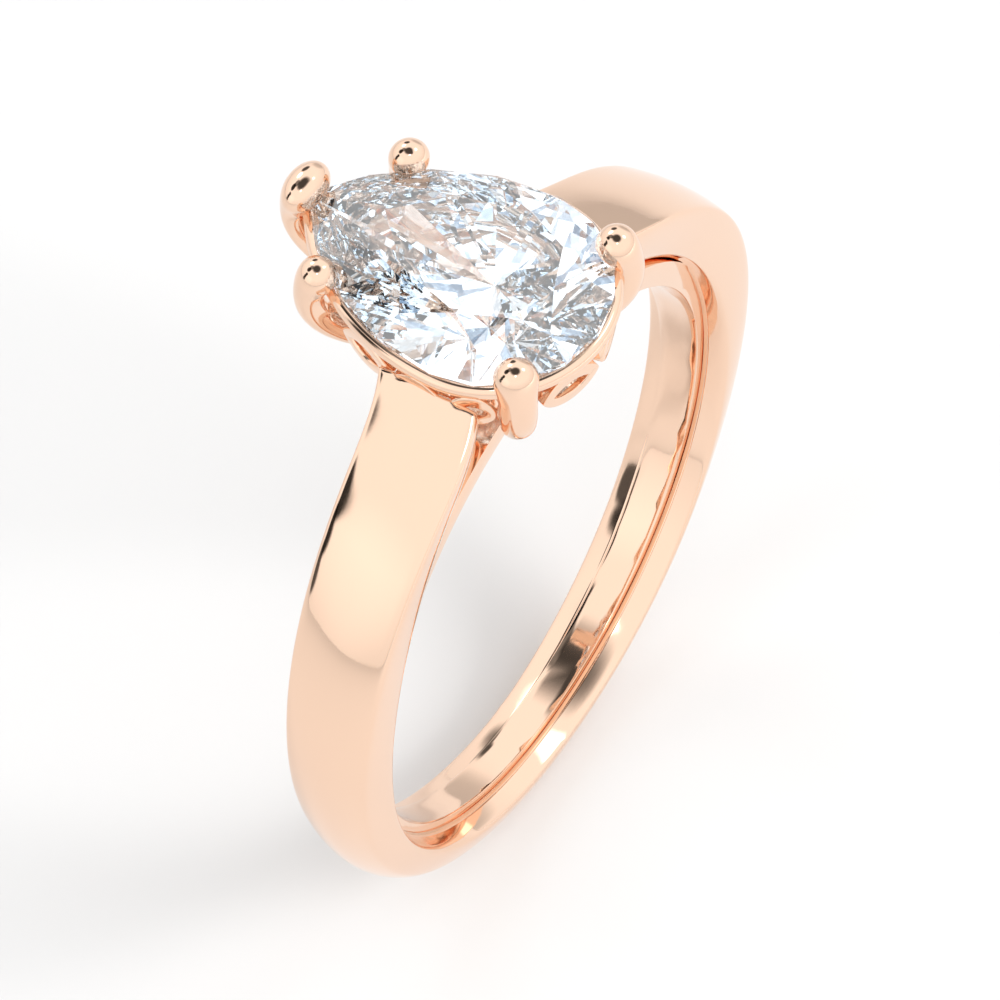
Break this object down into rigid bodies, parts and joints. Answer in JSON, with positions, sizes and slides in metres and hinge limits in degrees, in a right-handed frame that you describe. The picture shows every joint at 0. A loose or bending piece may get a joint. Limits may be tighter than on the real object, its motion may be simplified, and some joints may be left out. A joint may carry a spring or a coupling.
{
  "type": "engagement ring",
  "caption": "Rose-gold solitaire ring: pear-cut stone held by rounded prongs over a scalloped gallery, on raised shoulders with a comfort-fit inner sleeve.",
  "frame": {"origin": "centre of the finger hole, midway across the band", "axes": "+Z from the finger up through the stone, Y along the finger with the stone's tip towards +Y, X across the shoulders"},
  "size_m": [0.0208, 0.0103, 0.0231],
  "materials": {
    "rose_gold": "mirror polish",
    "diamond": "polished facets"
  },
  "bodies": {
    "root": {"comfort_sleeve": "rose_gold", "shank_left": "rose_gold", "shank_right": "rose_gold", "head_base": "rose_gold", "girdle_rail": "rose_gold", "prong_front_left": "rose_gold", "prong_front_right": "rose_gold", "prong_rear_left": "rose_gold", "prong_rear_right": "rose_gold", "prong_tip": "rose_gold", "link_left_1": "rose_gold", "link_left_2": "rose_gold", "link_left_3": "rose_gold", "link_left_4": "rose_gold", "link_left_5": "rose_gold", "link_right_1": "rose_gold", "link_right_2": "rose_gold", "link_right_3": "rose_gold", "link_right_4": "rose_gold", "link_right_5": "rose_gold", "centre_stone": "diamond"}
  },
  "joints": []
}
